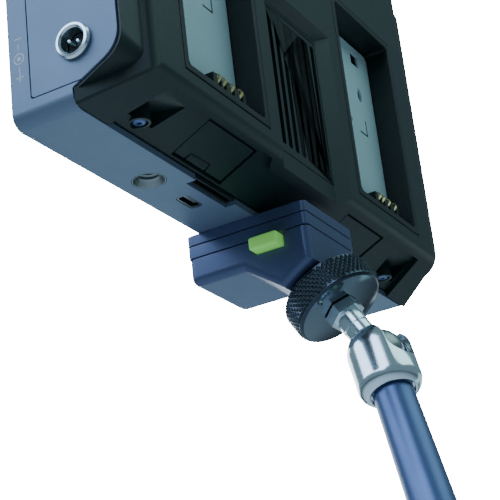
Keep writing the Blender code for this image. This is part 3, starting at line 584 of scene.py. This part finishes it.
def make_knurled_wheel():
    """Lock wheel with crossed knurling between two chamfered rims and a seat for its hub."""
    line = line_frame("wheel_turn")
    low, high, radius = reach("lock_wheel", line)
    root = radius - KNURL_DEPTH
    columns = 2 * WHEEL_DIAMONDS
    seat_end = low + HUB_SEAT_DEPTH
    shape = bmesh.new()
    rings = []
    for ring_radius, height in ((HUB_SEAT, seat_end), (HUB_SEAT, low), (root - 1.1, low),
                                (root - 0.35, low + 0.25)):
        rings.append((ring(shape, line, [ring_radius] * columns, height), None))
    step = (high - low - 2 * RIM_WIDTH) / WHEEL_ROWS
    for row in range(WHEEL_ROWS + 1):
        radii = [root] * columns
        if 0 < row < WHEEL_ROWS:
            radii = [radius if (row + column) % 2 else root for column in range(columns)]
        rings.append((ring(shape, line, radii, low + RIM_WIDTH + step * row), row))
    for ring_radius, height in ((root - 0.25, high - 0.3), (root - 0.8, high),
                                (WHEEL_BORE + 0.5, high), (WHEEL_BORE, high - 0.4),
                                (WHEEL_BORE, seat_end)):
        rings.append((ring(shape, line, [ring_radius] * columns, height), None))
    for (first, row), (second, following) in zip(rings, rings[1:] + rings[:1]):
        knurled = row is not None and following is not None
        bridge(shape, first, second, row if knurled else None)
    wheel = add_piece("knurled_wheel", shape, "wheel_metal", "lock_wheel", ("lock_wheel",))
    wheel.data.materials.append(make_wheel_face())
    _, axis = joint_line("wheel_turn")
    for face in wheel.data.polygons:
        if face.normal.dot(axis) > 0.98:
            face.material_index = 1
    smooth(wheel)


# Bent leaf of a battery contact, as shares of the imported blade's depth and height
LEAF = ((0.10, 0.0), (0.14, 0.40), (0.50, 0.62), (0.92, 0.76), (1.0, 0.86), (0.80, 0.95), (0.45, 1.0))


def make_contact(name):
    low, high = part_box(name)
    shape = bmesh.new()
    rows = []
    for depth, height in LEAF:
        y = low.y + (high.y - low.y) * depth
        z = low.z + (high.z - low.z) * height
        rows.append([shape.verts.new((x, y, z)) for x in (low.x, high.x)])
    for first, second in zip(rows, rows[1:]):
        shape.faces.new((first[0], first[1], second[1], second[0]))
    leaf = add_piece(name + "_leaf", shape, "gold", "receiver", (name,))
    thick = leaf.modifiers.new("thickness", "SOLIDIFY")
    thick.thickness = 0.25 * MM
    thick.offset = 0.0
    smooth(leaf)


def make_plate_mark(name):
    """Engraved corner bracket and guide ticks on a battery plate."""
    low, high = (RECEIVER.inverted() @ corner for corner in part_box(name))
    middle, face = (low.x + high.x) / 2, high.y
    shape = bmesh.new()
    for left, foot, width, height in ((-10.3, 45.6, 0.5, 5.6), (-10.3, 45.6, 5.2, 0.5),
                                      (0.2, 47.4, 0.4, 1.3), (3.4, 44.0, 0.4, 1.3)):
        slab(shape, (middle + left, face - 0.2, foot),
             (middle + left + width, face + 0.04, foot + height))
    add_piece(name + "_mark", shape, "dark_plastic", "receiver")


def make_polarity_mark():
    """Etched centre-positive sign beside the power socket: bar, ring with a dot, and cross."""
    face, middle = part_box("front_chassis")[1].x, 2.95
    face = (RECEIVER.inverted() @ Vector((face, 0, 0))).x
    low, high = face - 0.2, face + 0.02
    shape = bmesh.new()
    for width, foot, height in ((2.2, 22.6, 0.35), (0.35, 19.6, 1.9), (0.35, 13.6, 1.7),
                                (2.2, 12.2, 0.35), (0.35, 11.3, 0.85), (0.35, 12.6, 0.85)):
        slab(shape, (low, middle - width / 2, foot), (high, middle + width / 2, foot + height))
    line = Matrix.Translation(place(face, middle, 17.4)) @ Matrix.Rotation(pi / 2, 4, "Y")
    line = line @ Matrix.Scale(MM, 4)
    revolve(shape, line, [(1.2, 0.02), (1.55, 0.02), (1.55, -0.2), (1.2, -0.2)], 32)
    revolve(shape, line, [(0.02, 0.02), (0.6, 0.02), (0.6, -0.2), (0.02, -0.2)], 20)
    piece = add_piece("polarity_mark", shape, "aluminium", "receiver")
    piece.data.materials[0] = new_material("etched_print", (0.62, 0.66, 0.70), 0.5)[0]


THREAD_PITCH = 1.27


def make_insert_thread():
    """Thread inside the open tripod insert."""
    low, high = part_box("tripod_insert_side")
    line = Matrix.Translation(((low.x + high.x) / 2, (low.y + high.y) / 2, low.z))
    line = line @ Matrix.Scale(MM, 4)
    outline = [(3.24, 1.2)]
    for turn in range(4):
        height = 1.2 + THREAD_PITCH * turn
        outline += [(3.2, height + 0.05), (2.75, height + 0.5), (2.75, height + 0.75)]
    outline += [(3.2, 1.2 + THREAD_PITCH * 4), (3.24, 1.2 + THREAD_PITCH * 4)]
    shape = bmesh.new()
    revolve(shape, line, outline, 40)
    smooth(add_piece("insert_thread", shape, "steel", "receiver"))


def arc(centre, radius, start, end, steps):
    """Points on an arc in a (radius, height) section, with angles in degrees from outwards."""
    points = []
    for step in range(steps + 1):
        angle = radians(start + (end - start) * step / steps)
        points.append((centre[0] + radius * cos(angle), centre[1] + radius * sin(angle)))
    return points


CUP_RADIUS = 8.65
CUP_MOUTH_RADIUS = 6.6
SEAT_RADIUS = 7.1
CUP_FOOT = 12.8
SLOT_HALF = 5.0
SLOT_END = 0.2
SLOT_SIDE = (0.28, 0.91, 0.29)


def cup_outline():
    """Section of the ball cup about the arm's axis, outside first, as (radius, height) points."""
    mouth = asin((CUP_MOUTH_RADIUS + 0.15) / CUP_RADIUS)
    dome = arc((0, 0), CUP_RADIUS, -90 + degrees(mouth), 0, 18)
    foot = arc((CUP_RADIUS - 4, CUP_FOOT - 3.7), 4.0, 0, 62, 12)
    seat = arc((0, 0), SEAT_RADIUS, 50, -56, 18)
    lip = [(CUP_MOUTH_RADIUS - 0.25, dome[0][1] + 0.05)]
    return dome + foot + [(6.1, foot[-1][1] - 0.1), (6.1, 11.3), (3.0, 11.3), (3.0, 8.0)] + seat + lip


def slot_cutter(line):
    """Hidden U-shaped tool that opens one side of the cup down past the ball's centre."""
    side = Vector(SLOT_SIDE)
    down = (line @ Vector((0, 0, 1)) - line @ Vector()).normalized()
    side = (side - down * down.dot(side)).normalized()
    across = side.cross(down)
    outline = [(-SLOT_HALF, -16.0)] + [(-x, y + SLOT_END) for x, y in arc((0, 0), SLOT_HALF, 0, 180, 24)]
    outline.append((SLOT_HALF, -16.0))
    middle = line @ Vector()
    shape = bmesh.new()
    layers = []
    for reach_out in (0.0, 14.0):
        layers.append([shape.verts.new(middle + (across * x + down * y + side * reach_out) * MM)
                       for x, y in outline])
    bridge(shape, layers[0], layers[1])
    for layer in layers:
        shape.faces.new(layer)
    bmesh.ops.recalc_face_normals(shape, faces=shape.faces)
    mesh = bpy.data.meshes.new("slot_cutter")
    shape.to_mesh(mesh)
    shape.free()
    cutter = bpy.data.objects.new("slot_cutter", mesh)
    cutter.hide_render = True
    cutter.hide_viewport = True
    cutter.display_type = "WIRE"
    bpy.context.scene.collection.objects.link(cutter)
    return cutter


def make_smooth_cup():
    line = line_frame("ball_pan")
    shape = bmesh.new()
    revolve(shape, line, cup_outline(), 96)
    cup = add_piece("polished_cup", shape, "chrome", "arm", ("ball_cup",))
    opening = cup.modifiers.new("slot", "BOOLEAN")
    opening.object = slot_cutter(line)
    opening.solver = "EXACT"
    edges = cup.modifiers.new("edges", "BEVEL")
    edges.width = 0.22 * MM
    edges.segments = 2
    edges.limit_method = "ANGLE"
    edges.angle_limit = radians(38)
    smooth(cup)


def make_fine_shapes():
    make_knurled_wheel()
    make_smooth_cup()
    make_polarity_mark()
    make_insert_thread()
    for side in ("left", "right"):
        make_plate_mark("battery_plate_" + side)
        for index in range(1, 5):
            make_contact(f"contact_{side}_{index}")


make_camera()
make_world()
make_light()
make_floor()
dress_nodes()
finish_edges()
make_fine_shapes()
